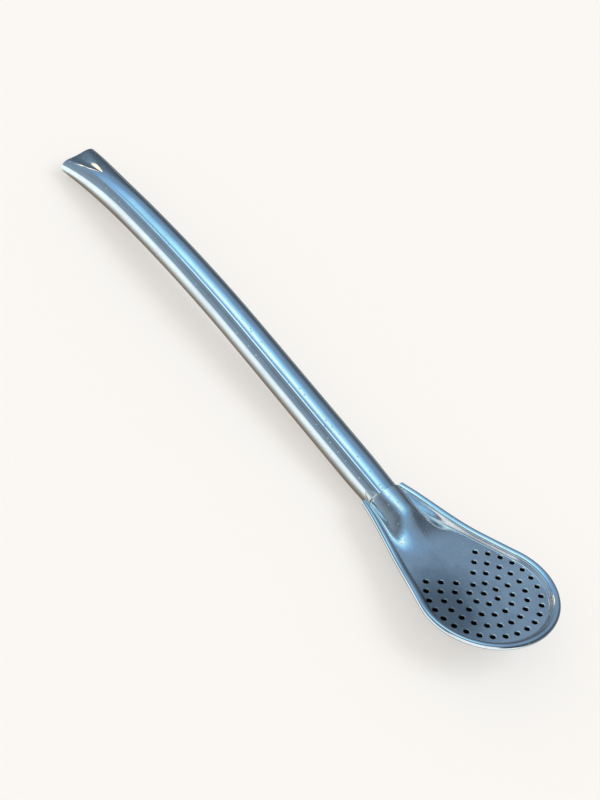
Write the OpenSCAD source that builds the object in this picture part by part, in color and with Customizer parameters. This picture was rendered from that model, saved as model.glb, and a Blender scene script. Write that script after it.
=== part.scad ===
// Spoon bombilla: a steel drinking straw with a flat strainer at its lower end.
// It lies on its back as on a table: +Z is up, +X points to the strainer's round end,
// Y runs across, and the origin is under the middle of the whole length.

/* [Stem] */
// Outer diameter of the stem tube
stem_d = 8; // [6:0.1:10]
// Wall thickness of the stem tube
stem_wall = 0.5; // [0.3:0.05:0.9]
// Diameter of the stem where it is drawn in to fit the neck
stem_neck_d = 7.6; // [5.6:0.1:8]
// Length over which the stem is drawn in
stem_taper = 9; // [4:1:20]
// Straight length between the neck and the start of the bend
stem_straight = 49; // [25:1:80]
// Radius of the bend on the tube's centre line
bend_radius = 355; // [280:5:600]
// Length of the bend along the centre line, as far as the mouthpiece's lip
bend_length = 69; // [50:1:95]
// Length of tube that is held inside the neck
socket_depth = 3.5; // [2:0.1:5]

/* [Mouthpiece] */
// Width of the lip
mouth_w = 9.4; // [8.5:0.1:11]
// Height of the lip, from the tube's underside to its upper corners
mouth_h = 5.8; // [4.4:0.1:7]
// Length of tube that is pressed down from above towards the lip
mouth_length = 24; // [16:1:40]
// Depth of the hollow pressed into the lip's upper side
dish_depth = 0.85; // [0.2:0.05:1.2]
// Width of that hollow at the lip
dish_width = 8.4; // [6:0.1:9]
// Length of that hollow from the lip to its point
dish_length = 11.5; // [6:0.5:15]
// Distance of that hollow from the middle line
dish_shift = 1; // [0:0.1:1.5]

/* [Strainer outline] */
// Radius of the round end, at the outside of the hem
end_radius = 15.25; // [14.5:0.05:20]
// Radius of the hollow flanks between the round end and the neck
flank_radius = 300; // [150:10:400]
// Half of the width across the hem at its two noses
neck_half_width = 5.9; // [5.6:0.05:7]
// Distance from the round end's centre to the hem's noses
neck_reach = 32.75; // [30:0.25:40]
// Distance that the socket's mouth is set back from the noses
mouth_setback = 0.6; // [0.2:0.1:1.2]
// Height of the stem's axis over the plate's face at the noses
neck_offset = 1.65; // [1:0.05:2.2]
// Angle between the stem and the plate's face
plate_angle = 12.5; // [9:0.5:15]
// Height of the socket's mouth over the table
neck_lift = 0.5; // [0.3:0.05:0.8]

/* [Sheet metal] */
// Thickness of the sheet of the plate and of the shell
sheet = 0.4; // [0.3:0.05:0.5]
// Width of the hem that is folded over the plate's border
hem_width = 1.4; // [1.1:0.1:1.8]
// Height of the hem's top over the plate's face at the round end
hem_height = 1.2; // [0.9:0.05:1.4]
// How much higher the hem stands at the neck
hem_neck_rise = 1.8; // [1:0.05:2]
// Width of the sloping step between the plate's border and its flat face
border_slope = 0.8; // [0.5:0.1:1.2]

/* [Strainer bowl] */
// Half of the width of the flat land on the bowl's underside
land_half_width = 3; // [2:0.1:4]
// Distance from the round end's centre back to the end of that land
land_setback = 9; // [6:0.5:14]

/* [Holes] */
// Diameter of a strainer hole
hole_d = 1.2; // [0.8:0.05:1.5]
// Distance from one ring of holes to the next
ring_step = 3; // [2.6:0.05:3.1]
// Number of places that each ring has more than the ring inside it
ring_places = 7; // [5:1:8]
// Turn of the hole pattern about the middle hole
ring_turn = 3; // [-6:0.5:6]
// Distance that the middle hole is set back from the round end's centre
hole_setback = 0.75; // [0:0.05:1.5]

/* [Fits] */
// Clearance between the stem and its socket, which the braze fills
socket_gap = 0.05; // [0.03:0.01:0.12]
// Clearance on each side of the plate's border inside the hem
fold_gap = 0.04; // [0.03:0.005:0.06]
// Length of the braze fillet along the stem
braze_length = 0.9; // [0.5:0.1:1.5]

/* [Hidden] */
$fn = 64;

// Stem: the rise of its straight part puts the lip's lower edge on the table.
stem_r = stem_d / 2;
bend_angle = bend_length / bend_radius * 180 / PI;
neck_r = stem_neck_d / 2;
socket_r = neck_r + socket_gap;
neck_z = socket_r + sheet + neck_lift;
reach_along = stem_straight + (bend_radius - stem_r) * sin(bend_angle);
reach_down = bend_radius * (cos(bend_angle) - 1) - stem_r * cos(bend_angle);
stem_rise = asin(-neck_z / norm([reach_along, reach_down])) - atan2(reach_down, reach_along);

// Plate: its tilt from the table follows from the stem's rise.
tilt = plate_angle - stem_rise;
tip_x = -stem_straight * cos(stem_rise) + bend_radius * (sin(stem_rise - bend_angle) - sin(stem_rise));
face_from_neck = neck_reach * cos(tilt) + neck_offset * sin(tilt);
end_x = face_from_neck + end_radius * cos(tilt);
lip_x = tip_x - (mouth_h - stem_r) * sin(bend_angle - stem_rise);
neck_x = -(lip_x + end_x) / 2;
face_x = neck_x + face_from_neck;
face_z = neck_z + neck_reach * sin(tilt) - neck_offset * cos(tilt);

// Outline: a round end, with a hollow flank tangent to it on each side.
neck_point = [-neck_reach, neck_half_width];
flank_centre_distance = end_radius + flank_radius;
tangent_angle = atan2(neck_point.y, neck_point.x)
    - acos((end_radius * (end_radius + 2 * flank_radius) + neck_point * neck_point)
           / (2 * flank_centre_distance * norm(neck_point)));
flank_centre = flank_centre_distance * [cos(tangent_angle), sin(tangent_angle)];
flank_start = atan2(neck_point.y - flank_centre.y, neck_point.x - flank_centre.x);
flank_end = tangent_angle - 180;

// Stations along the outline: the flank from the neck, then the round end to its middle.
flank_steps = 20;
end_steps = 20;
half_count = flank_steps + end_steps + 1;
station_count = 2 * half_count - 1;

// Edges of the folded rim, as distances in from the outline.
fold_thickness = 3 * sheet + 2 * fold_gap;
slot_depth = hem_width - sheet - fold_gap;
plate_inset = sheet + 2 * fold_gap;
step_gap = 0.1;
border_in = hem_width + step_gap;
wall_share = 0.7;
wall_in = wall_share * hem_width;

// Distances from the noses: the arch and the trough are full round the socket and fade out past it,
// the valley beside the arch comes down to the face, and the hem comes down to its height.
socket_end = socket_depth + mouth_setback;
arch_full = socket_depth + 2;
arch_gone = socket_depth + 13;
valley_gone = socket_depth + 8;
step_full = socket_depth + 4.5;
flare_full = socket_depth + 0.5;
trough_gone = socket_depth + 7.5;
hem_level = socket_depth + 15.5;

function mix(p, q, t) = p + (q - p) * t;
function ease(t) = let (c = max(0, min(1, t))) c * c * (3 - 2 * c);
function fade(a, full, gone) = 1 - ease((a - full) / (gone - full));

// A point of the plate's frame (along, across, above the face) in the part's frame.
function placed(p) = [
    face_x + p.x * cos(tilt) - p.z * sin(tilt),
    p.y,
    face_z + p.x * sin(tilt) + p.z * cos(tilt)];

// The table's height in the plate's frame, below a place along the plate.
function table_level(a) = -(face_z + a * sin(tilt)) / cos(tilt);

// The stem axis in the plate's frame.
function axis_level(a) = neck_offset - (a + neck_reach) * tan(plate_angle);

function half_of(i) = min(i, station_count - 1 - i);
function side_of(i) = i < half_count ? 1 : -1;
function on_flank(h) = h < flank_steps;

// Outline point of a station on the left half.
function outline(h) = on_flank(h)
    ? let (t = mix(flank_start, flank_end, h / flank_steps))
      flank_centre + flank_radius * [cos(t), sin(t)]
    : let (t = tangent_angle * (1 - (h - flank_steps) / end_steps))
      end_radius * [cos(t), sin(t)];

// Where a station's line meets the middle line: straight across at the neck, square to the rim later.
function spine(h) = on_flank(h)
    ? let (r = outline(h), t = mix(flank_start, flank_end, h / flank_steps))
      r.x - r.y * cos(t) / sin(t) * h / flank_steps
    : 0;

// A point of a station's line, given as a distance in from the outline and a height over the face.
function rim_point(h, inset, level) =
    let (r = outline(h), s = [spine(h), 0], d = s - r, p = r + d * inset / max(norm(d), inset))
    [p.x, p.y, level];

function from_neck(a) = a + neck_reach;
function hem_top(a) = hem_height + hem_neck_rise * fade(from_neck(a), 0, hem_level);

// Sweeps half-profiles round the outline into one closed sheet.
// sheet_rings: one list of points for each station, from the upper middle over the rim to the lower middle.
// upper and lower: points on the middle line, shared by both sides and by all stations past their last one.
module rim_sweep(sheet_rings, upper, lower) {
    size = len(sheet_rings[0]);
    shared = len(upper);
    first_upper = station_count * size;
    first_lower = first_upper + shared;
    function at(i, j) = j < 0 ? first_upper + min(half_of(i), shared - 1)
        : j >= size ? first_lower + min(half_of(i), shared - 1)
        : i * size + j;
    strips = [for (i = [0:station_count - 2], j = [-1:size - 1])
        let (q = [at(i, j), at(i, j + 1), at(i + 1, j + 1), at(i + 1, j)])
        each q[0] == q[3] ? [[q[0], q[1], q[2]]]
            : q[1] == q[2] ? [[q[0], q[1], q[3]]]
            : [[q[0], q[1], q[2]], [q[0], q[2], q[3]]]];
    last = station_count - 1;
    mouth = concat([for (j = [size:-1:-1]) at(0, j)], [for (j = [0:size - 1]) at(last, j)]);
    polyhedron(concat([for (ring = sheet_rings) each ring], upper, lower), concat(strips, [mouth]));
}

function mirrored(p, i) = [p.x, p.y * side_of(i), p.z];

// Stem
function stem_slope(s) = stem_rise - max(0, s - stem_straight) / bend_radius * 180 / PI;
function stem_point(s) =
    let (straight = min(s, stem_straight), slope = stem_slope(s))
    [neck_x - straight * cos(stem_rise) + bend_radius * (sin(slope) - sin(stem_rise)),
     0,
     neck_z + straight * sin(stem_rise) + bend_radius * (cos(slope) - cos(stem_rise))];

mouth_start = stem_straight + bend_length - mouth_length;
dish_start = stem_straight + bend_length - dish_length;
mouth_rings = 16;
stem_sides = 48;

// Powers of the oval's quarters: 2 is an ellipse, and more is squarer.
// The lip's upper corner is round on the right (-Y) and nearly square on the left.
under_power = 2;
right_power = 1.8;
left_power = 5.7;

// Distance from an oval's middle to its edge in the direction t.
function oval_reach(half_w, half_h, power, t) =
    pow(pow(abs(cos(t)) / half_w, power) + pow(abs(sin(t)) / half_h, power), -1 / power);

// Cross-section of the stem: a circle, which the press turns into an oval with a hollow upper side.
// The underside stays in line with the tube's, and the oval's corners come last.
function stem_ring(s, wall) =
    let (wedge = max(0, (s - mouth_start) / mouth_length),
         press = pow(wedge, 2),
         corners = pow(wedge, 3),
         hollow = max(0, (s - dish_start) / dish_length),
         round_r = mix(neck_r, stem_r, ease(s / stem_taper)),
         half_w = mix(round_r, mouth_w / 2, press) - wall,
         half_h = mix(round_r, mouth_h / 2, press) - wall,
         sunk = (stem_r - mouth_h / 2) * press,
         c = stem_point(s),
         slope = stem_slope(s))
    [for (k = [0:stem_sides - 1])
        let (t = 360 * k / stem_sides,
             upper = sin(t) > 0,
             power = mix(2, !upper ? under_power : cos(t) > 0 ? left_power : right_power, corners),
             reach = oval_reach(half_w, half_h, power, t),
             y = reach * cos(t),
             off = 2 * (y + dish_shift) / dish_width,
             dish = upper && hollow > 0
                 ? dish_depth * hollow * (1 + cos(180 * min(1, abs(off) / hollow))) / 2
                 : 0,
             n = reach * sin(t) - sunk - dish)
        [c.x + n * sin(slope), y, c.z + n * cos(slope)]];

// Tube with that cross-section: rings along the outside, then back along the bore.
taper_rings = 4;
bend_rings = 14;
stem_places = [
    -socket_depth,
    for (k = [0:taper_rings]) stem_taper * k / taper_rings,
    for (k = [0:bend_rings - 1]) mix(stem_straight, mouth_start, k / bend_rings),
    for (k = [0:mouth_rings]) mix(mouth_start, mouth_start + mouth_length, k / mouth_rings)];
stem_last = len(stem_places) - 1;

module stem_tube() color("lightsteelblue") {
    rings = [
        for (s = stem_places) stem_ring(s, 0),
        for (k = [stem_last:-1:0]) stem_ring(stem_places[k], stem_wall)];
    count = len(rings);
    strips = [for (i = [0:count - 1], j = [0:stem_sides - 1])
        let (a = i * stem_sides, b = ((i + 1) % count) * stem_sides, k = (j + 1) % stem_sides)
        each [[a + j, a + k, b + k], [a + j, b + k, b + j]]];
    polyhedron([for (r = rings) each r], strips);
}

// Strainer plate
arch_r = socket_r + sheet;
arch_turn = 75;
arch_end_turn = 35;
valley_power = 1.4;
foot_width = 0.28;
arch_points = 9;
plate_points = arch_points + 2;

// Levels at a place along the plate: the border in the hem, the valley beside it and the arch's crown.
function border_level(a) = hem_top(a) - sheet - fold_gap;
function valley_level(a) = border_level(a) * pow(max(0, 1 - from_neck(a) / valley_gone), valley_power);
function crown_level(a) =
    (axis_level(a + mouth_setback) + arch_r * cos(plate_angle)) * fade(from_neck(a), arch_full, arch_gone);

// Section of the plate's upper side at a station, as distances in from the outline and heights:
// the border, the step down to the valley, then an arc up to the crown, which is flat past the arch.
function plate_section(h) =
    let (a = outline(h).x,
         length = norm([spine(h), 0] - outline(h)),
         grown = ease(from_neck(a) / step_full),
         foot = border_in + mix(foot_width, border_slope, grown),
         last = mix(arch_turn, arch_end_turn, grown),
         rise = max(0, crown_level(a) - valley_level(a)))
    [[plate_inset, border_level(a)],
     [border_in, border_level(a)],
     for (k = [0:arch_points])
         let (t = last * (1 - k / arch_points))
         [mix(length, foot, sin(t) / sin(last)),
          valley_level(a) + rise * (cos(t) - cos(last)) / (1 - cos(last))]];

// A point of the plate at a station, from the border's edge (k = 0) to the middle line (k = plate_points),
// moved in from the upper side by drop. The arch leans so that its mouth is square to the stem.
function plate_point(h, k, drop) =
    let (section = plate_section(h),
         r = outline(h),
         way = k == 0 || k == plate_points ? [1, 0] : section[k + 1] - section[k - 1],
         p = section[k] - drop * [-way.y, way.x] / norm(way),
         flat = rim_point(h, p.x, p.y),
         lean = k < 2 ? 0 : fade(from_neck(r.x), socket_end, arch_gone),
         over_axis = p.y - axis_level(r.x + mouth_setback))
    [flat.x + lean * (mouth_setback + over_axis * tan(plate_angle)), flat.y, flat.z];

module plate_sheet() {
    rings = [for (i = [0:station_count - 1]) let (h = half_of(i)) [
        for (k = [plate_points - 1:-1:0]) placed(mirrored(plate_point(h, k, 0), i)),
        for (k = [0:plate_points - 1]) placed(mirrored(plate_point(h, k, sheet), i))]];
    upper = [for (h = [0:flank_steps]) placed(plate_point(h, plate_points, 0))];
    lower = [for (h = [0:flank_steps]) placed(plate_point(h, plate_points, sheet))];
    rim_sweep(rings, upper, lower);
}

// Rings of holes about the middle hole: each leaves out the places that face the neck.
ring_count = 4;
punch_length = 6 * sheet;
function skipped(ring) = ring < 2 ? 0 : 2 * ring - 3;
function first_place(ring) = ring < 2 ? 0 : (skipped(ring) + 1) / 2;

module strainer_hole(x, y)
    translate([x, y, 0])
        cylinder(d = hole_d, h = punch_length, center = true, $fn = 24);

module hole_rings() {
    strainer_hole(0, 0);
    for (ring = [1:ring_count], place = [0:ring_places * ring - 1 - skipped(ring)]) {
        turn = 180 + 360 * (place + first_place(ring)) / (ring_places * ring);
        strainer_hole(ring * ring_step * cos(turn), ring * ring_step * sin(turn));
    }
}

module hole_pattern()
    translate([face_x, 0, face_z])
        rotate([0, -tilt, 0])
            translate([-hole_setback, 0, 0])
                rotate([0, 0, ring_turn])
                    hole_rings();

module strainer_plate() color("slategray") difference() {
    plate_sheet();
    hole_pattern();
}

// Back shell
wall_points = 8;
wall_slant = 0.6;
bead_r = fold_thickness / 2;
fold_steps = 6;
cut_drop = 0.3 * sheet;
trough_from = 100;
trough_to = 170;
flare_share = 0.4;

// The folded hem, from the cut edge to the crown and round the fold to the underside.
function hem_outside(h) = let (top = hem_top(outline(h).x)) [
    rim_point(h, hem_width, top - cut_drop),
    for (k = [0:fold_steps])
        let (t = 180 * k / fold_steps)
        rim_point(h, bead_r * (1 - sin(t)), top - bead_r * (1 - cos(t)))];

// The slot inside the fold, from the lower layer round to the cut edge.
function hem_inside(h) = let (top = hem_top(outline(h).x)) [
    rim_point(h, hem_width - slot_depth, top - fold_thickness + sheet),
    rim_point(h, hem_width - slot_depth, top - sheet),
    rim_point(h, hem_width, top - sheet)];

// Half-round trough about the stem; turn is counted from straight up.
function trough_point(a, turn, radius) =
    let (up = radius * cos(turn))
    placed([a + up * sin(plate_angle), radius * sin(turn), axis_level(a) + up * cos(plate_angle)]);

// Bowl wall at a station, from the hem (k = 0) to the land on the table (k = wall_points) and its middle:
// a curve that comes down level, which turns into the trough at the neck and flares out from it.
function bowl_point(h, k, drop) =
    let (r = outline(h),
         inner = sheet - drop,
         start = placed(rim_point(h, wall_in + wall_slant * inner, hem_top(r.x) - fold_thickness + inner)),
         middle = [min(spine(h), -land_setback), 0],
         foot = k > wall_points ? middle : middle + (r - middle) * land_half_width / norm(r - middle),
         rest = placed([foot.x, foot.y, table_level(foot.x)]),
         w = min(k / wall_points, 1),
         flat = mix(start, rest, w),
         bowl = [flat.x, flat.y, inner + (start.z - inner) * pow(1 - w, 2)],
         turn = k > wall_points ? 180 : mix(trough_from, trough_to, w),
         trough = trough_point(r.x + mouth_setback, turn, socket_r + drop),
         flared = mix(1, ease(w / flare_share), ease(from_neck(r.x) / flare_full)))
    mix(bowl, trough, flared * fade(from_neck(r.x), socket_end, trough_gone));

module shell_sheet() {
    rings = [for (i = [0:station_count - 1]) let (h = half_of(i)) [
        for (k = [wall_points:-1:0]) mirrored(bowl_point(h, k, 0), i),
        for (p = hem_inside(h)) placed(mirrored(p, i)),
        for (p = hem_outside(h)) placed(mirrored(p, i)),
        for (k = [0:wall_points]) mirrored(bowl_point(h, k, sheet), i)]];
    land_stations = len([for (h = [0:half_count - 1]) if (spine(h) < -land_setback) h]);
    upper = [for (h = [0:land_stations]) bowl_point(h, wall_points + 1, 0)];
    lower = [for (h = [0:land_stations]) bowl_point(h, wall_points + 1, sheet)];
    rim_sweep(rings, upper, lower);
}

module back_shell() color("lightslategray") shell_sheet();

// Braze: a fillet round the lower half of the stem, against the mouth of the shell.
// On the right (-Y) it climbs past the plate's foot and ends in a drop on the stem.
braze_from = -140;
braze_to = 80;
braze_steps = 44;
braze_gap = 0.02;
drop_turn = -112;
drop_half_turn = 30;
drop_length = 2.6;
drop_height = 0.3;
drop_gap = 0.3;
climb_from = -66;
climb_to = -78;

// Shares of the climb and of the drop, counted from straight down, then the edges of the fillet:
// where it starts past the shell's mouth, how far it reaches along the stem, its top and its foot.
function climb(turn) = ease((turn - climb_from) / (climb_to - climb_from));
function drop_share(turn) = (1 + cos(180 * min(1, abs(turn - drop_turn) / drop_half_turn))) / 2;
function braze_start(turn) = mix(braze_gap, drop_gap, climb(turn));
function braze_reach(turn) = mix(braze_length, drop_length, drop_share(turn));
function braze_top(turn) = mix(arch_r, neck_r + drop_height, climb(turn));
function braze_foot(past) = mix(neck_r, stem_r, ease(past / stem_taper)) + braze_gap;

// A point of the fillet: turn is counted from straight down, past is the distance from the shell's mouth.
function braze_point(r, turn, past) =
    let (n = -r * cos(turn), c = stem_point(past - mouth_setback * cos(plate_angle)))
    [c.x + n * sin(stem_rise), r * sin(turn), c.z + n * cos(stem_rise)];

module neck_braze() color("gainsboro") {
    turns = [for (k = [0:braze_steps]) mix(braze_from, braze_to, k / braze_steps)];
    points = [for (t = turns) each [
        braze_point(braze_foot(braze_start(t)), t, braze_start(t)),
        braze_point(braze_top(t), t, braze_start(t)),
        braze_point(braze_foot(braze_reach(t)), t, braze_reach(t))]];
    strips = [for (i = [0:braze_steps - 1], j = [0:2])
        let (a = 3 * i + j, b = 3 * i + (j + 1) % 3)
        each [[b, a, b + 3], [b + 3, a, a + 3]]];
    last = 3 * braze_steps;
    polyhedron(points, concat(strips, [[0, 1, 2], [last + 2, last + 1, last]]));
}

stem_tube();
strainer_plate();
back_shell();
neck_braze();
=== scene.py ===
from math import asin, atan2, cos, hypot, pi, radians, sin, tan
import bmesh
import bpy
import numpy as np
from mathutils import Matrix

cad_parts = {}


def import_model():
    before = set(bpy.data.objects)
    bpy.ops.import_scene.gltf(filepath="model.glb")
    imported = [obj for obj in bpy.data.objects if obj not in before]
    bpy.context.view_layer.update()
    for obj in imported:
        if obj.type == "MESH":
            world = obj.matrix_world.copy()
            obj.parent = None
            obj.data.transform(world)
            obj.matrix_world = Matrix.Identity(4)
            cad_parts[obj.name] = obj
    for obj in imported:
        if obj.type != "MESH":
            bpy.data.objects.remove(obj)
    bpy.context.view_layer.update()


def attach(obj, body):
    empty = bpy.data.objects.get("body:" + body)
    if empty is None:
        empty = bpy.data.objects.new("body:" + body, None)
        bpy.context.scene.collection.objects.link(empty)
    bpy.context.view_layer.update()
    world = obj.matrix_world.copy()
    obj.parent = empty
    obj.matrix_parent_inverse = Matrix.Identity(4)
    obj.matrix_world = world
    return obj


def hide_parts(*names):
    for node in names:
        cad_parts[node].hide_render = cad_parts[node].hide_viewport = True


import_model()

# Stem
# One welded steel tube of 8 mm with a low seam along it, bent in a long arc. Its lip, which is drunk
# from, is pressed down from above with a hollow, and its lower end is drawn in a little and sits in
# the neck of the strainer.
MM = 0.001
stem_radius = 4.0
stem_wall = 0.5
neck_radius = 3.8
taper_length = 9.0
straight_length = 49.0
bend_radius = 355.0
bend_length = 69.0
socket_depth = 3.5
lip_width = 9.4
lip_height = 5.8
press_length = 24.0
dish_depth = 0.85
dish_width = 8.4
dish_length = 11.5
dish_shift = 1.0
under_power = 2.0
right_power = 1.8
left_power = 5.7
sheet = 0.4
socket_gap = 0.05
neck_lift = 0.5
seam_turn = radians(129.6)
seam_half_width = 0.4
seam_height = 0.075
stem_sides = 224
stem_rows = 70
press_rows = 130
lip_rows = 9
bore_skip = 3
stem_crease = 40.0
stem_end = straight_length + bend_length
socket_radius = neck_radius + socket_gap
neck_height = socket_radius + sheet + neck_lift

bend_angle = bend_length / bend_radius
reach_along = straight_length + (bend_radius - stem_radius) * sin(bend_angle)
reach_down = bend_radius * (cos(bend_angle) - 1) - stem_radius * cos(bend_angle)
stem_rise = asin(-neck_height / hypot(reach_along, reach_down)) - atan2(reach_down, reach_along)

face_angle = radians(12.5)
neck_reach = 32.75
neck_offset = 1.65
end_radius = 15.25
tilt = face_angle - stem_rise
face_from_neck = neck_reach * cos(tilt) + neck_offset * sin(tilt)
lip_from_neck = (-straight_length * cos(stem_rise)
                 + bend_radius * (sin(stem_rise - bend_angle) - sin(stem_rise))
                 - (lip_height - stem_radius) * sin(bend_angle - stem_rise))
neck_x = -(lip_from_neck + face_from_neck + end_radius * cos(tilt)) / 2


def ease(t):
    """Smooth step: zero up to 0, one from 1 on, with level ends between."""
    t = np.clip(t, 0.0, 1.0)
    return t * t * (3.0 - 2.0 * t)


def mix(a, b, t):
    """Even blend from a at 0 to b at 1."""
    return a + (b - a) * t


merge_gap = 0.002
sliver = 0.001


def grid_object(name, points, caps=(), inside=None):
    """Mesh from a grid of points in millimetres, [along, around, xyz], closed around.
    caps are lists of point numbers that each close an end; inside marks the points of a hidden
    inner face."""
    along, around = points.shape[:2]
    index = np.arange(along * around).reshape(along, around)
    after = np.roll(index, -1, axis=1)
    quads = np.stack([index[:-1], after[:-1], after[1:], index[1:]], axis=-1).reshape(-1, 4)
    mesh = bpy.data.meshes.new(name)
    mesh.from_pydata((points.reshape(-1, 3) * MM).tolist(), [], quads.tolist() + [list(c) for c in caps])
    if inside is not None:
        marked = mesh.attributes.new("inside", "FLOAT", "POINT")
        marked.data.foreach_set("value", inside.ravel().astype(np.float32))
    tidy = bmesh.new()
    tidy.from_mesh(mesh)
    bmesh.ops.remove_doubles(tidy, verts=tidy.verts, dist=merge_gap * MM)
    bmesh.ops.dissolve_degenerate(tidy, edges=tidy.edges, dist=sliver * MM)
    bmesh.ops.recalc_face_normals(tidy, faces=tidy.faces)
    tidy.to_mesh(mesh)
    tidy.free()
    piece = bpy.data.objects.new(name, mesh)
    bpy.context.collection.objects.link(piece)
    mesh.shade_smooth()
    return piece


def crease(piece, degrees):
    """Sharp edges where two faces meet at more than the given angle."""
    piece.data.set_sharp_from_angle(angle=radians(degrees))


def stem_axis(s):
    """Centre line of the stem: straight from the neck, then an arc down to the lip.
    Returns the place and the slope at the lengths s."""
    slope = stem_rise - np.maximum(0.0, s - straight_length) / bend_radius
    straight = np.minimum(s, straight_length)
    x = neck_x - straight * cos(stem_rise) + bend_radius * (np.sin(slope) - sin(stem_rise))
    z = neck_height + straight * sin(stem_rise) + bend_radius * (np.cos(slope) - cos(stem_rise))
    return x, z, slope


least_share = 1e-6


def stem_surface(s, inset, turns):
    """Rings round the centre line: a circle that the press turns into an oval, moved in by the inset.
    An oval's quarters have the form |y/a|^p + |z/b|^p = 1, and the seam is a wave on its outside.
    The underside stays in line with the tube's, and a hollow that is a wave across, and comes
    to a point along, is taken from the upper side."""
    x, z, slope = stem_axis(s)
    pressed = np.clip((s - stem_end + press_length) / press_length, 0.0, 1.0)[:, None]
    press = pressed ** 2
    hollow = np.clip((s - stem_end + dish_length) / dish_length, least_share, 1.0)[:, None]
    round_radius = mix(neck_radius, stem_radius, ease(s / taper_length))[:, None]
    half_width = mix(round_radius, lip_width / 2, press) - inset[:, None]
    half_height = mix(round_radius, lip_height / 2, press) - inset[:, None]
    c, d = np.cos(turns)[None, :], np.sin(turns)[None, :]
    corner = np.where(d <= 0, under_power, np.where(c > 0, left_power, right_power))
    power = mix(2.0, corner, pressed ** 3)
    reach = ((np.abs(c) / half_width) ** power + (np.abs(d) / half_height) ** power) ** (-1 / power)
    from_seam = np.minimum(1.0, np.abs(turns - seam_turn) * stem_radius / seam_half_width)
    ridge = seam_height * (1.0 + np.cos(pi * from_seam)) / 2
    reach = reach + np.where(inset[:, None] > 0.0, 0.0, ridge * (1.0 - pressed))
    y = reach * c
    off = 2 * (y + dish_shift) / dish_width
    wave = (1.0 + np.cos(pi * np.minimum(1.0, np.abs(off) / hollow))) / 2
    dish = np.where(d > 0, dish_depth * hollow * wave, 0.0)
    up = reach * d - (stem_radius - lip_height / 2) * press - dish
    return np.stack([x[:, None] + up * np.sin(slope)[:, None],
                     y,
                     z[:, None] + up * np.cos(slope)[:, None]], axis=-1)


stem_turns = np.linspace(0.0, 2.0 * pi, stem_sides, endpoint=False)
lip_round = stem_wall / 2
outside = np.concatenate([np.linspace(-socket_depth, stem_end - press_length, stem_rows)[:-1],
                          np.linspace(stem_end - press_length, stem_end - lip_round, press_rows)])
edge_turn = np.linspace(0.0, pi, lip_rows)[1:-1]
lip_places = stem_end - lip_round + lip_round * np.sin(edge_turn)
lip_insets = lip_round * (1.0 - np.cos(edge_turn))
bore = outside[::-bore_skip]
stem_places = np.concatenate([outside, lip_places, bore])
stem_insets = np.concatenate([np.zeros(len(outside)), lip_insets, np.full(len(bore), stem_wall)])
stem_points = stem_surface(stem_places, stem_insets, stem_turns)
stem_points = np.concatenate([stem_points, stem_points[:1]])
stem = grid_object("stem_tube_polished", stem_points)
crease(stem, stem_crease)


def fed(tree, value, plug):
    """Feeds an input: links an output to it, or sets a plain value on it."""
    if isinstance(value, bpy.types.NodeSocket):
        tree.links.new(value, plug)
    else:
        plug.default_value = value


def math_of(tree, kind, *values):
    """Math node: the named operation on outputs or plain numbers."""
    node = tree.nodes.new("ShaderNodeMath")
    node.operation = kind
    for value, plug in zip(values, node.inputs):
        fed(tree, value, plug)
    return node.outputs["Value"]


def ranged(tree, source, span, to=(0.0, 1.0), curve="LINEAR"):
    """Map range node: the span's two ends become those of to, and nothing goes past them."""
    node = tree.nodes.new("ShaderNodeMapRange")
    node.interpolation_type = curve
    names = ("Value", "From Min", "From Max", "To Min", "To Max")
    for name, value in zip(names, (source, *span, *to)):
        fed(tree, value, node.inputs[name])
    return node.outputs["Result"]


def mixed(tree, factor, first, second, kind="RGBA"):
    """Mix node: first where the factor is 0, second where it is 1."""
    node = tree.nodes.new("ShaderNodeMix")
    node.data_type = kind
    for name, value in (("Factor", factor), ("A", first), ("B", second)):
        fed(tree, value, [plug for plug in node.inputs if plug.name == name and plug.enabled][0])
    return [plug for plug in node.outputs if plug.enabled][0]


mark_scales = {"Length Scale": 200.0, "Cross Scale": 6000.0, "Stain Scale": 300.0, "Pit Scale": 420.0}
scratch_detail = 4.0
stain_detail = 5.0
stain_grain = 0.6
pit_radii = (0.08, 0.2)
pit_rarity = 0.55


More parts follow.
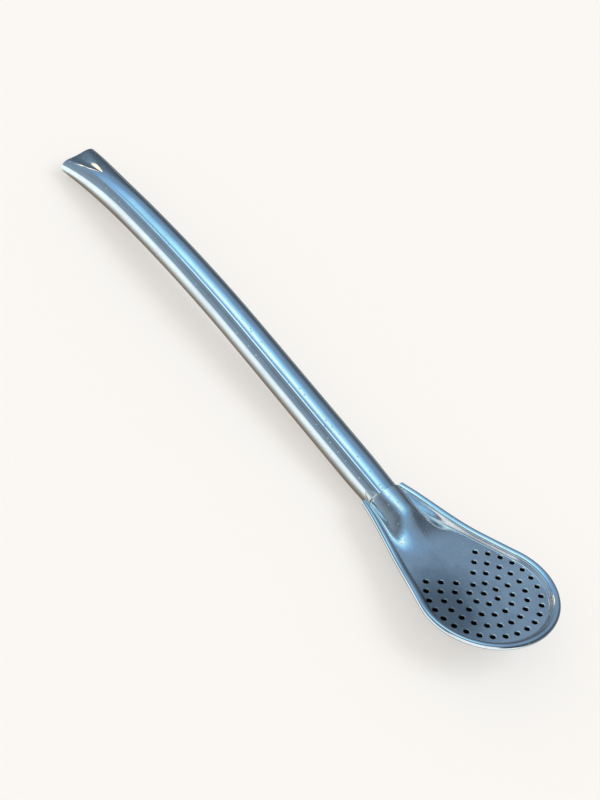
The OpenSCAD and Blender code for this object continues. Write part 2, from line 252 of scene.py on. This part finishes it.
def handling_marks():
    """Node group: fine scratches, soft stains and scattered pits of used steel.
    Noise stretched along one axis gives the scratches and round noise the stains;
    the middles of cells, of which some are left out, give the pits."""
    group = bpy.data.node_groups.new("handling_marks", "ShaderNodeTree")
    for name, value in mark_scales.items():
        made = group.interface.new_socket(name=name, in_out="INPUT", socket_type="NodeSocketFloat")
        made.default_value = value
    for name in ("Scratch", "Stain", "Pit"):
        group.interface.new_socket(name=name, in_out="OUTPUT", socket_type="NodeSocketFloat")
    nodes, links = group.nodes, group.links
    given = nodes.new("NodeGroupInput").outputs
    out = nodes.new("NodeGroupOutput").inputs
    place = nodes.new("ShaderNodeTexCoord").outputs["Object"]
    stretch = nodes.new("ShaderNodeCombineXYZ")
    for axis, name in (("X", "Length Scale"), ("Y", "Cross Scale"), ("Z", "Cross Scale")):
        links.new(given[name], stretch.inputs[axis])
    scaled = nodes.new("ShaderNodeVectorMath")
    scaled.operation = "MULTIPLY"
    links.new(place, scaled.inputs[0])
    links.new(stretch.outputs["Vector"], scaled.inputs[1])
    scratch = nodes.new("ShaderNodeTexNoise")
    scratch.inputs["Scale"].default_value = 1.0
    scratch.inputs["Detail"].default_value = scratch_detail
    links.new(scaled.outputs["Vector"], scratch.inputs["Vector"])
    links.new(scratch.outputs["Fac"], out["Scratch"])
    stain = nodes.new("ShaderNodeTexNoise")
    stain.inputs["Detail"].default_value = stain_detail
    stain.inputs["Roughness"].default_value = stain_grain
    links.new(given["Stain Scale"], stain.inputs["Scale"])
    links.new(place, stain.inputs["Vector"])
    links.new(stain.outputs["Fac"], out["Stain"])
    cells = nodes.new("ShaderNodeTexVoronoi")
    links.new(given["Pit Scale"], cells.inputs["Scale"])
    links.new(place, cells.inputs["Vector"])
    middle = ranged(group, cells.outputs["Distance"], pit_radii, (1.0, 0.0))
    chosen = math_of(group, "GREATER_THAN", cells.outputs["Color"], pit_rarity)
    links.new(math_of(group, "MULTIPLY", middle, chosen), out["Pit"])
    return group


marks_group = handling_marks()
stain_span = (0.35, 0.65)
scratch_span = (0.3, 0.7)
pit_roughness = 0.4


def steel(name, colour, roughness, stain_depth, bump, scales, pit=0.0, hidden=None, painted_reflection=None):
    """Steel with handling marks: stains darken the colour, scratches change the gloss, and scratches
    and pits shape the bump, with their depths in millimetres. hidden gives an inner face its own colour
    and roughness, and the last argument is a painted dark reflection round a centre, with a ragged edge."""
    material = bpy.data.materials.new(name)
    material.use_nodes = True
    tree = material.node_tree
    nodes, links = tree.nodes, tree.links
    shader = nodes["Principled BSDF"]
    shader.inputs["Metallic"].default_value = 1.0
    marks = nodes.new("ShaderNodeGroup")
    marks.node_tree = marks_group
    for key, value in scales.items():
        marks.inputs[key].default_value = value
    scratch, stain, pits = (marks.outputs[key] for key in ("Scratch", "Stain", "Pit"))
    stained = [c * (1.0 - stain_depth) for c in colour]
    tone = mixed(tree, ranged(tree, stain, stain_span), (*stained, 1.0), (*colour, 1.0))
    gloss = ranged(tree, scratch, scratch_span, roughness)
    gloss = mixed(tree, pits, gloss, pit_roughness, "FLOAT")
    # Painted reflection: a dark patch with a ragged edge is mixed into the colour round a centre.
    if painted_reflection is not None:
        away = nodes.new("ShaderNodeVectorMath")
        away.operation = "DISTANCE"
        away.inputs[1].default_value = [c * MM for c in painted_reflection["centre"]]
        links.new(nodes.new("ShaderNodeTexCoord").outputs["Object"], away.inputs[0])
        ragged = math_of(tree, "MULTIPLY_ADD", stain, painted_reflection["ragged"] * MM, away.outputs["Value"])
        span = [(painted_reflection[end] + painted_reflection["ragged"] / 2) * MM for end in ("begins", "full")]
        patch = ranged(tree, ragged, span, (0.0, painted_reflection["depth"]))
        tone = mixed(tree, patch, tone, (*painted_reflection["colour"], 1.0))
    if hidden is not None:
        inner = nodes.new("ShaderNodeAttribute")
        inner.attribute_name = "inside"
        tone = mixed(tree, inner.outputs["Fac"], tone, (*hidden["colour"], 1.0))
        gloss = mixed(tree, inner.outputs["Fac"], gloss, hidden["roughness"], "FLOAT")
    links.new(tone, shader.inputs["Base Color"])
    links.new(gloss, shader.inputs["Roughness"])
    relief = nodes.new("ShaderNodeBump")
    relief.inputs["Strength"].default_value = 1.0
    relief.inputs["Distance"].default_value = bump * MM
    links.new(math_of(tree, "MULTIPLY_ADD", pits, -pit / bump, scratch), relief.inputs["Height"])
    links.new(relief.outputs["Normal"], shader.inputs["Normal"])
    return material


tube_steel = steel("tube_steel", colour=(0.9, 0.94, 0.96), roughness=(0.04, 0.1), stain_depth=0.12,
                   bump=0.002, pit=0.03,
                   scales={"Length Scale": 60.0, "Cross Scale": 2500.0,
                           "Stain Scale": 150.0, "Pit Scale": 1000.0})
stem.data.materials.append(tube_steel)
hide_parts("stem_tube")
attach(stem, "root")

# Strainer plate
# A sheet of 0.4 mm steel with rings of punched holes. Its border is stepped up and held in the hem,
# and towards the stem it is bent into an arch that covers the upper half of the socket.
flank_radius = 300.0
neck_half_width = 5.9
mouth_setback = 0.6
hem_width = 1.4
hem_height = 1.2
hem_neck_rise = 1.8
border_slope = 0.8
fold_gap = 0.04
fold_thickness = 3 * sheet + 2 * fold_gap
arch_radius = socket_radius + sheet
arch_turn = radians(75.0)
arch_end_turn = radians(35.0)
foot_width = 0.28
foot_fillet_neck = 0.97
foot_fillet_out = 0.8
foot_fillet_grown = 6.0
mouth_round = 0.2
mouth_share = 0.006
mouth_rows = 6
flank_rows = 91
end_steps = 90
border_clear = 0.1
border_steps = 5
step_steps = 11
arch_steps = 56
plate_crease = 25.0
socket_end = socket_depth + mouth_setback
arch_full = socket_depth + 2.0
arch_gone = socket_depth + 13.0
valley_gone = socket_depth + 8.0
valley_power = 1.4
step_full = socket_depth + 4.5
flare_full = socket_depth + 0.5
trough_gone = socket_depth + 7.5
hem_level = socket_depth + 15.5
face_x = neck_x + face_from_neck
face_z = neck_height + neck_reach * sin(tilt) - neck_offset * cos(tilt)

neck_far = hypot(neck_reach, neck_half_width)
flank_far = end_radius + flank_radius
tangent = atan2(neck_half_width, -neck_reach) - np.arccos(
    (end_radius * (end_radius + 2 * flank_radius) + neck_far ** 2) / (2 * flank_far * neck_far))
flank_centre = flank_far * np.array([cos(tangent), sin(tangent)])
flank_from = atan2(neck_half_width - flank_centre[1], -neck_reach - flank_centre[0])

flank_share = np.concatenate([np.linspace(0.0, mouth_share, mouth_rows),
                              np.linspace(0.0, 1.0, flank_rows)[1:-1]])
flank_turn = mix(flank_from, tangent - pi, flank_share)
end_turn = np.linspace(tangent, 0.0, end_steps + 1)
flank = flank_centre + flank_radius * np.stack([np.cos(flank_turn), np.sin(flank_turn)], -1)
rim = np.concatenate([flank, end_radius * np.stack([np.cos(end_turn), np.sin(end_turn)], -1)])
flank_lean = flank_share * np.cos(flank_turn) / np.sin(flank_turn)
spine = np.concatenate([flank[:, 0] - flank[:, 1] * flank_lean, np.zeros(end_steps + 1)])
inward = np.stack([spine, np.zeros_like(spine)], -1) - rim
rim_length = np.linalg.norm(inward, axis=1)
inward = inward / rim_length[:, None]
rim_along = rim[:, 0]


def fade(a, full, gone):
    """One up to the place full, zero from the place gone."""
    return 1.0 - ease((a - full) / (gone - full))


def placed(p):
    """From the plate's frame (along, across, above its face) to the part's frame."""
    return np.stack([face_x + p[..., 0] * cos(tilt) - p[..., 2] * sin(tilt),
                     p[..., 1],
                     face_z + p[..., 0] * sin(tilt) + p[..., 2] * cos(tilt)], axis=-1)


def axis_level(a):
    """Height of the stem's axis above the plate's face, at the place a along it."""
    return neck_offset - (a + neck_reach) * tan(face_angle)


hem_top = hem_height + hem_neck_rise * fade(rim_along + neck_reach, 0.0, hem_level)


def rim_points(inset, level):
    """Points at a distance in from the outline, on every station's line to the middle."""
    flat = rim + inward * np.minimum(inset, rim_length)[:, None]
    return np.stack([flat[:, 0], flat[:, 1], np.broadcast_to(level, rim_along.shape)], -1)


plate_inset = sheet + 2 * fold_gap
border_in = hem_width + border_clear
from_neck = rim_along + neck_reach
arch_share = np.linspace(0.0, 1.0, arch_steps)
step_share = np.linspace(0.0, 1.0, step_steps)[1:-1]
border_share = np.linspace(0.0, 1.0, border_steps)


def plate_section():
    """Section of the plate's upper side at every station: distances in from the outline, then heights.
    The border, a smooth step down to a valley, then an arc up to the crown, with a small fillet at
    its foot. Past the arch the rise is nothing, so the face is flat."""
    border = (hem_top - sheet - fold_gap)[:, None]
    valley = border * np.maximum(0.0, 1.0 - from_neck / valley_gone)[:, None] ** valley_power
    crown = axis_level(rim_along + mouth_setback) + arch_radius * cos(face_angle)
    rise = np.maximum(0.0, (crown * fade(from_neck, arch_full, arch_gone))[:, None] - valley)
    grown = ease(from_neck / step_full)[:, None]
    foot = border_in + mix(foot_width, border_slope, grown)
    last = mix(arch_turn, arch_end_turn, grown)
    fillet_grown = ease(from_neck / foot_fillet_grown)
    fillet_from = mix(foot_fillet_neck, foot_fillet_out, fillet_grown)[:, None]

    def arc(v):
        """Height of the arc at the share v of its half width, from one at the crown to zero."""
        return (np.sqrt(1.0 - (v * np.sin(last)) ** 2) - np.cos(last)) / (1.0 - np.cos(last))

    out = np.sin(last * (1.0 - arch_share)) / np.sin(last)
    rounding = np.clip((out - fillet_from) / (1.0 - fillet_from), 0.0, 1.0)
    bent = np.minimum(out, fillet_from) + (1.0 - fillet_from) * (rounding - rounding ** 2 / 2)
    low = arc((1.0 + fillet_from) / 2)
    flat_ways = mix(plate_inset, border_in, border_share)
    ways = np.concatenate([np.broadcast_to(flat_ways, (len(rim), border_steps)),
                           mix(border_in, foot, step_share),
                           mix(rim_length[:, None], foot, out)], axis=1)
    heights = np.concatenate([np.broadcast_to(border, (len(rim), border_steps)),
                              mix(border, valley, ease(step_share)),
                              valley + rise * (arc(bent) - low) / (1.0 - low)], axis=1)
    return ways, heights


def plate_half(drop):
    """One side of the plate from its border's edge to the middle line, moved in from the upper side
    by drop. The arch is moved square to itself, the border and the step straight down; the arch's
    mouth leans so that it is square to the stem, and its edge is rounded."""
    ways, heights = plate_section()
    flat_count = border_steps + len(step_share)
    run = np.gradient(ways[:, flat_count:], axis=1)
    climb = np.gradient(heights[:, flat_count:], axis=1)
    climb[:, -1] = 0.0
    size = np.hypot(run, climb)
    ways = ways.copy()
    edge = np.clip(1.0 - from_neck / mouth_round, 0.0, 1.0)
    depth = np.maximum(drop, mouth_round * (1.0 - np.sqrt(1.0 - edge ** 2)))[:, None]
    heights = heights - depth * np.concatenate([np.ones((len(rim), flat_count)), run / size], axis=1)
    ways[:, flat_count:] += depth * climb / size
    leaning = np.concatenate([np.zeros(border_steps), step_share, np.ones(len(arch_share))])
    leaning = leaning * fade(from_neck, socket_end, arch_gone)[:, None]
    over_axis = heights - axis_level(rim_along + mouth_setback)[:, None]
    flat = rim[:, None] + inward[:, None] * np.minimum(ways, rim_length[:, None])[..., None]
    return placed(np.stack([flat[..., 0] + leaning * (mouth_setback + over_axis * tan(face_angle)),
                            flat[..., 1],
                            heights], -1))


def both_sides(half):
    """A closed ring at every station: the given half profile, then its mirror image back."""
    return np.concatenate([half, (half * [1, -1, 1])[:, ::-1]], axis=1)


plate_half_ring = np.concatenate([plate_half(0.0)[:, ::-1], plate_half(sheet)], axis=1)
half_size = plate_half_ring.shape[1]
plate = grid_object("strainer_plate_punched", both_sides(plate_half_ring),
                    [range(half_size), range(half_size, 2 * half_size)])

hole_radius = 0.56
hole_round = 0.24
ring_step = 3.0
ring_places = 7
ring_turn = radians(3.0)
hole_setback = 0.75
hole_rings = 4
punch_sides = 28
punch_depth = 1.0
punch_over = 0.3
punch_turns = (0.0, 20.0, 40.0, 60.0, 78.0)
punch_head = 0.9


def hole_centres():
    """The middle hole and the rings about it, each with as many more places as the first; the outer
    rings leave out the places that face the neck."""
    found = [np.zeros((1, 2))]
    for ring in range(1, hole_rings + 1):
        places = ring_places * ring
        skipped = max(0, 2 * ring - 3)
        first = (skipped + 1) / 2 if ring > 1 else 0.0
        turn = pi + 2 * pi * (np.arange(places - skipped) + first) / places + ring_turn
        found.append(ring * ring_step * np.stack([np.cos(turn), np.sin(turn)], -1))
    return np.concatenate(found) - [hole_setback, 0.0]


def punch_object():
    """Round punches, one for each hole, as one mesh: a straight pin whose head widens in a quarter
    circle, so that the hole's upper edge is rounded."""
    turn = np.linspace(0.0, 2 * pi, punch_sides, endpoint=False)
    widening = np.radians(punch_turns)
    heights = np.concatenate([[-punch_depth], hole_round * (np.sin(widening) - 1.0), [punch_over]])
    radii = hole_radius + hole_round * np.concatenate([[0.0], 1.0 - np.cos(widening), [punch_head]])
    ring = np.stack([radii[:, None] * np.cos(turn), radii[:, None] * np.sin(turn),
                     np.broadcast_to(heights[:, None], (len(radii), len(turn)))], -1)
    index = np.arange(len(radii) * len(turn)).reshape(len(radii), len(turn))
    after = np.roll(index, -1, axis=1)
    sides = np.stack([index[:-1], after[:-1], after[1:], index[1:]], -1).reshape(-1, 4)
    verts, faces = [], []
    for number, centre in enumerate(hole_centres()):
        verts.append(placed(ring + [centre[0], centre[1], 0.0]).reshape(-1, 3))
        base = number * index.size
        faces += (sides + base).tolist()
        faces += [(index[0, ::-1] + base).tolist(), (index[-1] + base).tolist()]
    mesh = bpy.data.meshes.new("punches")
    mesh.from_pydata((np.concatenate(verts) * MM).tolist(), [], faces)
    punches = bpy.data.objects.new("punches", mesh)
    bpy.context.collection.objects.link(punches)
    return punches


def punched(piece):
    """Cuts the holes and keeps the result as the piece's own mesh."""
    punches = punch_object()
    cut = piece.modifiers.new("holes", "BOOLEAN")
    cut.operation = "DIFFERENCE"
    cut.solver = "EXACT"
    cut.object = punches
    graph = bpy.context.evaluated_depsgraph_get()
    mesh = bpy.data.meshes.new_from_object(piece.evaluated_get(graph))
    piece.modifiers.clear()
    piece.data = mesh
    bpy.data.objects.remove(punches)


punched(plate)
crease(plate, plate_crease)
# A painted dark reflection on the plate: its colour is darkened in a patch with a ragged edge.
painted_dark_reflection = {"centre": (67.0, -11.0, 8.5), "begins": 15.0, "full": 4.0,
              "ragged": 12.0, "depth": 0.8, "colour": (0.2, 0.21, 0.22)}
plate_steel = steel("plate_steel", colour=(0.97, 0.98, 0.98), roughness=(0.05, 0.27), stain_depth=0.2,
                    bump=0.014, pit=0.03, painted_reflection=painted_dark_reflection,
                    scales={"Length Scale": 1100.0, "Cross Scale": 2200.0,
                            "Stain Scale": 90.0, "Pit Scale": 1200.0})
plate.data.materials.append(plate_steel)
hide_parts("strainer_plate")
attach(plate, "root")

# Back shell
# A pressed steel bowl under the plate. Its rim is folded over the plate's border as a rounded hem,
# and at the neck it narrows to a half-round trough that carries the stem.
bead = fold_thickness / 2
slot_in = sheet + fold_gap
wall_place = 0.7
wall_in = wall_place * hem_width
land_half_width = 3.0
land_setback = 9.0
flare_share = 0.4
cut_round = 0.12
cut_drops = (0.5, 0.36)
crown_drop = 0.14
wall_lean = 0.6
trough_from = 100.0
trough_to = 170.0
land_shares = (0.66, 0.33, 0.0)
fold_steps = 25
wall_steps = 40
shell_crease = 40.0
fold_turn = np.linspace(0.0, pi, fold_steps)
wall_share = np.linspace(0.0, 1.0, wall_steps)


def hem_rows():
    """The hem's outside from its cut edge over the crown and round the fold to the underside."""
    places = [(hem_width, hem_top - cut_drops[0] * sheet),
              (hem_width - cut_round, hem_top - cut_drops[1] * sheet),
              (mix(bead, hem_width, 0.5), hem_top - crown_drop * sheet)]
    places += [(bead * (1.0 - sin(t)), hem_top - bead * (1.0 - cos(t))) for t in fold_turn]
    return [placed(rim_points(inset, level)) for inset, level in places]


def slot_rows():
    """The slot inside the fold, from the lower layer round to the cut edge."""
    places = [(slot_in, hem_top - fold_thickness + sheet),
              (slot_in, hem_top - sheet),
              (hem_width, hem_top - sheet)]
    return [placed(rim_points(inset, level)) for inset, level in places]


def wall_rows(drop):
    """The bowl from the hem to the land on the table: height falls with the square of the way left.
    Towards the neck it is blended to a half-round trough about the stem."""
    inner = sheet - drop
    start = placed(rim_points(wall_in + wall_lean * inner, hem_top - fold_thickness + inner))
    land_x = np.minimum(spine, -land_setback)
    line = rim - np.stack([land_x, np.zeros_like(land_x)], -1)
    line = line / np.linalg.norm(line, axis=1)[:, None]
    fading = fade(from_neck, socket_end, trough_gone)
    flaring = ease(from_neck / flare_full)
    along = rim_along + mouth_setback
    radius = socket_radius + drop
    rows = []
    for share, out in [(v, 1.0) for v in wall_share] + [(1.0, q) for q in land_shares]:
        foot_x = land_x + line[:, 0] * land_half_width * out
        foot_y = line[:, 1] * land_half_width * out
        table = -(face_z + foot_x * sin(tilt)) / cos(tilt)
        rest = placed(np.stack([foot_x, foot_y, table], -1))
        bowl = mix(start, rest, share)
        bowl[:, 2] = inner + (start[:, 2] - inner) * (1.0 - share) ** 2
        turn = radians(mix(mix(trough_from, trough_to, share), 180.0, 1.0 - out))
        up = radius * cos(turn)
        trough = placed(np.stack([along + up * sin(face_angle),
                                  np.full_like(along, radius * sin(turn)),
                                  axis_level(along) + up * cos(face_angle)], -1))
        held = fading * mix(1.0, ease(share / flare_share), flaring)
        rows.append(mix(bowl, trough, held[:, None]))
    return rows


inner_rows = wall_rows(0.0)[::-1]
shell_half = np.stack(inner_rows + slot_rows() + hem_rows() + wall_rows(sheet), axis=1)
shell_size = shell_half.shape[1]
half_inside = np.arange(shell_size) < len(inner_rows)
ring_inside = np.concatenate([half_inside, half_inside[::-1]])
shell_inside = np.broadcast_to(ring_inside, (len(rim), 2 * shell_size))
shell = grid_object("back_shell_pressed", both_sides(shell_half),
                    [range(shell_size), range(shell_size, 2 * shell_size)], shell_inside)
crease(shell, shell_crease)
# The bowl's inner face is near-black and matt.
shell_steel = steel("shell_steel", colour=(0.9, 0.94, 0.96), roughness=(0.02, 0.07), stain_depth=0.12,
                    bump=0.001, hidden={"colour": (0.06, 0.055, 0.05), "roughness": 0.7},
                    scales={"Length Scale": 300.0, "Cross Scale": 900.0, "Stain Scale": 200.0})
shell.data.materials.append(shell_steel)
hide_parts("back_shell")
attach(shell, "root")

# Braze
# A bright fillet of hard solder round the lower half of the stem, where it enters the neck.
# It wets the tube and the trough's edge, so its face is hollow, and on the right it climbs past
# the plate's foot and ends in a drop on the tube.
braze_gap = 0.02
braze_length = 0.9
braze_from = radians(-134.0)
braze_to = radians(80.0)
climb_from = radians(-66.0)
climb_to = radians(-78.0)
drop_turn = radians(-112.0)
drop_half_turn = radians(30.0)
drop_length = 2.6
drop_height = 0.3
drop_gap = 0.3
braze_rows = 97
fillet_rows = 13
braze_crease = 40.0
braze_turn = np.linspace(braze_from, braze_to, braze_rows)[:, None]
braze_share = np.linspace(0.0, 1.0, fillet_rows)


def braze_section():
    """Section of the fillet at every turn, counted from straight down: radii and places along the stem.
    The fillet is hollow; on the right it climbs past the plate's foot and swells to a drop."""
    climb = ease((braze_turn - climb_from) / (climb_to - climb_from))
    drop = (1.0 + np.cos(pi * np.minimum(1.0, np.abs(braze_turn - drop_turn) / drop_half_turn))) / 2
    start = mix(braze_gap, drop_gap, climb)
    height = mix(1.0 - np.sqrt(1.0 - (1.0 - braze_share) ** 2), np.sqrt(1.0 - braze_share ** 2), drop)
    reach = mix(1.0 - np.sqrt(1.0 - braze_share ** 2), braze_share, drop)
    height = np.concatenate([np.zeros_like(braze_turn), height], axis=1)
    reach = np.concatenate([np.zeros_like(braze_turn), reach], axis=1)
    places = mix(start, mix(braze_length, drop_length, drop), reach)
    foot = mix(neck_radius, stem_radius, ease(places / taper_length)) + braze_gap
    return mix(foot, mix(arch_radius, neck_radius + drop_height, climb), height), places


braze_r, braze_s = braze_section()
braze_x, braze_z, braze_slope = stem_axis(braze_s - mouth_setback * cos(face_angle))
braze_up = -braze_r * np.cos(braze_turn)
braze_points = np.stack([braze_x + braze_up * np.sin(braze_slope),
                         braze_r * np.sin(braze_turn),
                         braze_z + braze_up * np.cos(braze_slope)], -1)
profile_size = braze_r.shape[1]
last_ring = (len(braze_turn) - 1) * profile_size
braze = grid_object("neck_braze_fillet", braze_points,
                    [range(profile_size), range(last_ring, last_ring + profile_size)])
crease(braze, braze_crease)
braze_metal = steel("braze_metal", colour=(0.98, 0.98, 0.96), roughness=(0.3, 0.45), stain_depth=0.05,
                    bump=0.003,
                    scales={"Length Scale": 500.0, "Cross Scale": 500.0, "Stain Scale": 400.0})
braze.data.materials.append(braze_metal)
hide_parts("neck_braze")
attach(braze, "root")

# Table
# A plain pale sheet under the straw, of matt paper, lit from the window side.
# In the steel it is a painted reflection that glows: bright in front of the straw, painted brown shade
# close to it and dim behind it.
table_half = 1.5
table_drop = 0.05 * MM
table_colour = (0.955, 0.937, 0.911)
table_roughness = 0.9
table_shown = (0.965, 0.947, 0.921)
table_glow = 0.5
shade_reach = 60.0
# Painted shade and reflection: in the steel the table glows brown in its shade close to the straw,
# bluish far in front and dark behind.
shade_tones = [(0.55, (0.22, 0.18, 0.14)), (0.68, (0.29, 0.25, 0.21)), (0.8, (0.45, 0.47, 0.46)),
               (0.88, (0.92, 1.06, 1.08)), (1.0, (1.0, 1.08, 1.1))]
front_colour = (0.33, 0.52, 0.7)
front_span = (-25.0, -160.0)
behind_colour = (0.07, 0.08, 0.1)
behind_span = (-2.0, 12.0)
behind_depth = 0.85
table_corners = table_half * np.array([(-1, -1, 0), (1, -1, 0), (1, 1, 0), (-1, 1, 0)])
table_mesh = bpy.data.meshes.new("table")
table_mesh.from_pydata((table_corners - [0.0, 0.0, table_drop]).tolist(), [], [(0, 1, 2, 3)])
table = bpy.data.objects.new("table", table_mesh)
bpy.context.collection.objects.link(table)


def toned(tree, source, stops):
    """Colour ramp node: a colour at each stop, blended evenly between them."""
    node = tree.nodes.new("ShaderNodeValToRGB")
    ramp = node.color_ramp
    ramp.elements.remove(ramp.elements[1])
    ramp.elements[0].position = stops[0][0]
    ramp.elements[0].color = (*stops[0][1], 1.0)
    for place, colour in stops[1:]:
        ramp.elements.new(place).color = (*colour, 1.0)
    tree.links.new(source, node.inputs["Fac"])
    return node.outputs["Color"]


def glowing(tree, colour):
    """Emission node of the given colour, at a strength of 1."""
    node = tree.nodes.new("ShaderNodeEmission")
    fed(tree, colour, node.inputs["Color"])
    return node.outputs["Emission"]


def shown_by(tree, factor, first, second):
    """Mix shader node: first where the factor is 0, second where it is 1."""
    node = tree.nodes.new("ShaderNodeMixShader")
    for value, plug in zip((factor, first, second), node.inputs):
        tree.links.new(value, plug)
    return node.outputs["Shader"]


def table_paper():
    """Matt paper. In the steel it glows as a painted reflection: painted shade tones by its occlusion,
    another colour far in front and a dim one behind the straw; the camera sees it lifted towards a paler
    colour."""
    material = bpy.data.materials.new("table_paper")
    material.use_nodes = True
    tree = material.node_tree
    nodes, links = tree.nodes, tree.links
    matt = nodes["Principled BSDF"]
    matt.inputs["Base Color"].default_value = (*table_colour, 1.0)
    matt.inputs["Roughness"].default_value = table_roughness
    matt.inputs["Specular IOR Level"].default_value = 0.0
    shade = nodes.new("ShaderNodeAmbientOcclusion")
    shade.inputs["Distance"].default_value = shade_reach * MM
    parts = nodes.new("ShaderNodeSeparateXYZ")
    links.new(nodes.new("ShaderNodeTexCoord").outputs["Object"], parts.inputs["Vector"])
    across = parts.outputs["Y"]
    # Painted shade in reflections: tones by the ambient occlusion near the straw.
    seen = toned(tree, shade.outputs["AO"], shade_tones)
    front = ranged(tree, across, [y * MM for y in front_span])
    seen = mixed(tree, front, seen, (*front_colour, 1.0))
    behind = ranged(tree, across, [y * MM for y in behind_span], (0.0, behind_depth))
    seen = mixed(tree, behind, seen, (*behind_colour, 1.0))
    ray = nodes.new("ShaderNodeLightPath").outputs
    surface = shown_by(tree, ray["Is Glossy Ray"], matt.outputs["BSDF"], glowing(tree, seen))
    lifted = math_of(tree, "MULTIPLY", ray["Is Camera Ray"], table_glow)
    surface = shown_by(tree, lifted, surface, glowing(tree, (*table_shown, 1.0)))
    links.new(surface, nodes["Material Output"].inputs["Surface"])
    return material


table.data.materials.append(table_paper())

# Light
# A large soft lamp behind and above on the right gives the shadow, and the rest is an even surround.
# In the steel the surround is a bright strip of sky over the lip's end that falls off to dark slate,
# with a dim horizon and a window in front, and a small warm lamp beyond the lip gives golden glints.
sky_across = -0.15
sky_left = 2.4
sky_along = radians(67.0)
sky_tones = [(0.0, (0.98, 1.12, 1.12)), (7.0, (0.9, 1.1, 1.1)), (12.0, (0.5, 0.97, 1.08)),
             (24.0, (0.3, 0.6, 0.94)), (34.0, (0.2, 0.35, 0.55)), (43.0, (0.2, 0.31, 0.45)),
             (51.0, (0.17, 0.26, 0.36)), (60.0, (0.105, 0.15, 0.2)), (78.0, (0.06, 0.08, 0.11))]
sky_reach = 90.0
horizon_colour = (0.25, 0.34, 0.43)
horizon_rise = (0.05, 1.0)
horizon_front = (-0.5, -0.1)
window_colour = (1.0, 1.06, 1.1)
window_rise = (0.5, 0.75)
window_front = (-0.45, -0.2)
window_end = (-0.15, 0.15)
surround_colour = (0.77, 0.71, 0.645)


def sun(name, azimuth, elevation, width, strength, colour):
    """Sun lamp that shines from the given azimuth and elevation, as wide as the given angle."""
    lamp = bpy.data.lights.new(name, "SUN")
    lamp.energy = strength
    lamp.angle = radians(width)
    lamp.color = colour
    holder = bpy.data.objects.new(name, lamp)
    holder.rotation_euler = (pi / 2 - radians(elevation), 0.0, radians(azimuth) + pi / 2)
    bpy.context.collection.objects.link(holder)
    return holder


key_lamp = sun("key_lamp", azimuth=45.0, elevation=54.0, width=36.0, strength=1.1,
               colour=(0.82, 0.98, 1.14))
key_lamp.visible_glossy = False
sun("warm_lamp", azimuth=171.0, elevation=26.0, width=12.0, strength=0.06, colour=(1.0, 0.68, 0.34))


def studio_world():
    """Even warm light for the table and a pale backdrop for the camera. For reflections, tones by the
    distance from a strip of sky, which runs in the stem's direction, then the horizon in front
    and the window low at the strainer's end of it."""
    world = bpy.data.worlds.new("studio")
    world.use_nodes = True
    tree = world.node_tree
    nodes, links = tree.nodes, tree.links
    parts = nodes.new("ShaderNodeSeparateXYZ")
    links.new(nodes.new("ShaderNodeTexCoord").outputs["Generated"], parts.inputs["Vector"])
    x, y, z = (parts.outputs[axis] for axis in "XYZ")

    def before(source, span):
        """One before the span, zero past it, smooth between."""
        return ranged(tree, source, span, (1.0, 0.0), "SMOOTHSTEP")

    across = math_of(tree, "SUBTRACT", y, sky_across)
    across = math_of(tree, "MAXIMUM", across, math_of(tree, "MULTIPLY", across, -sky_left))
    along = math_of(tree, "ARCTAN2", z, math_of(tree, "MULTIPLY", x, -1.0))
    along = math_of(tree, "SUBTRACT", along, sky_along)
    squares = [math_of(tree, "POWER", way, 2.0) for way in (across, along)]
    away = math_of(tree, "SQRT", math_of(tree, "ADD", *squares))
    away = math_of(tree, "DIVIDE", away, radians(sky_reach))
    tones = toned(tree, away, [(degrees / sky_reach, colour) for degrees, colour in sky_tones])
    horizon = math_of(tree, "MULTIPLY", before(z, horizon_rise), before(y, horizon_front))
    tones = mixed(tree, horizon, tones, (*horizon_colour, 1.0))
    window = math_of(tree, "MULTIPLY", before(z, window_rise), before(y, window_front))
    window = math_of(tree, "MULTIPLY", window, ranged(tree, x, window_end, curve="SMOOTHSTEP"))
    tones = mixed(tree, window, tones, (*window_colour, 1.0))
    ray = nodes.new("ShaderNodeLightPath").outputs
    seen = mixed(tree, ray["Is Glossy Ray"], (*surround_colour, 1.0), tones)
    seen = mixed(tree, ray["Is Camera Ray"], seen, (*table_shown, 1.0))
    links.new(seen, nodes["Background"].inputs["Color"])
    return world


bpy.context.scene.world = studio_world()

# Camera
# It looks down on the straw from the strainer's end, as in the photograph,
# and is turned a little about its own axis.
camera_lens = 81.0
camera_sensor = 36.0
camera_near = 0.01
camera_place = (0.175275, -0.221723, 0.285177)
camera_turn = (43.21, -13.862, 51.684)
camera_data = bpy.data.cameras.new("camera")
camera_data.lens = camera_lens
camera_data.sensor_width = camera_sensor
camera_data.clip_start = camera_near
camera = bpy.data.objects.new("camera", camera_data)
camera.location = camera_place
camera.rotation_euler = [radians(turn) for turn in camera_turn]
bpy.context.collection.objects.link(camera)
bpy.context.scene.camera = camera
bpy.context.scene.view_settings.view_transform = "Standard"
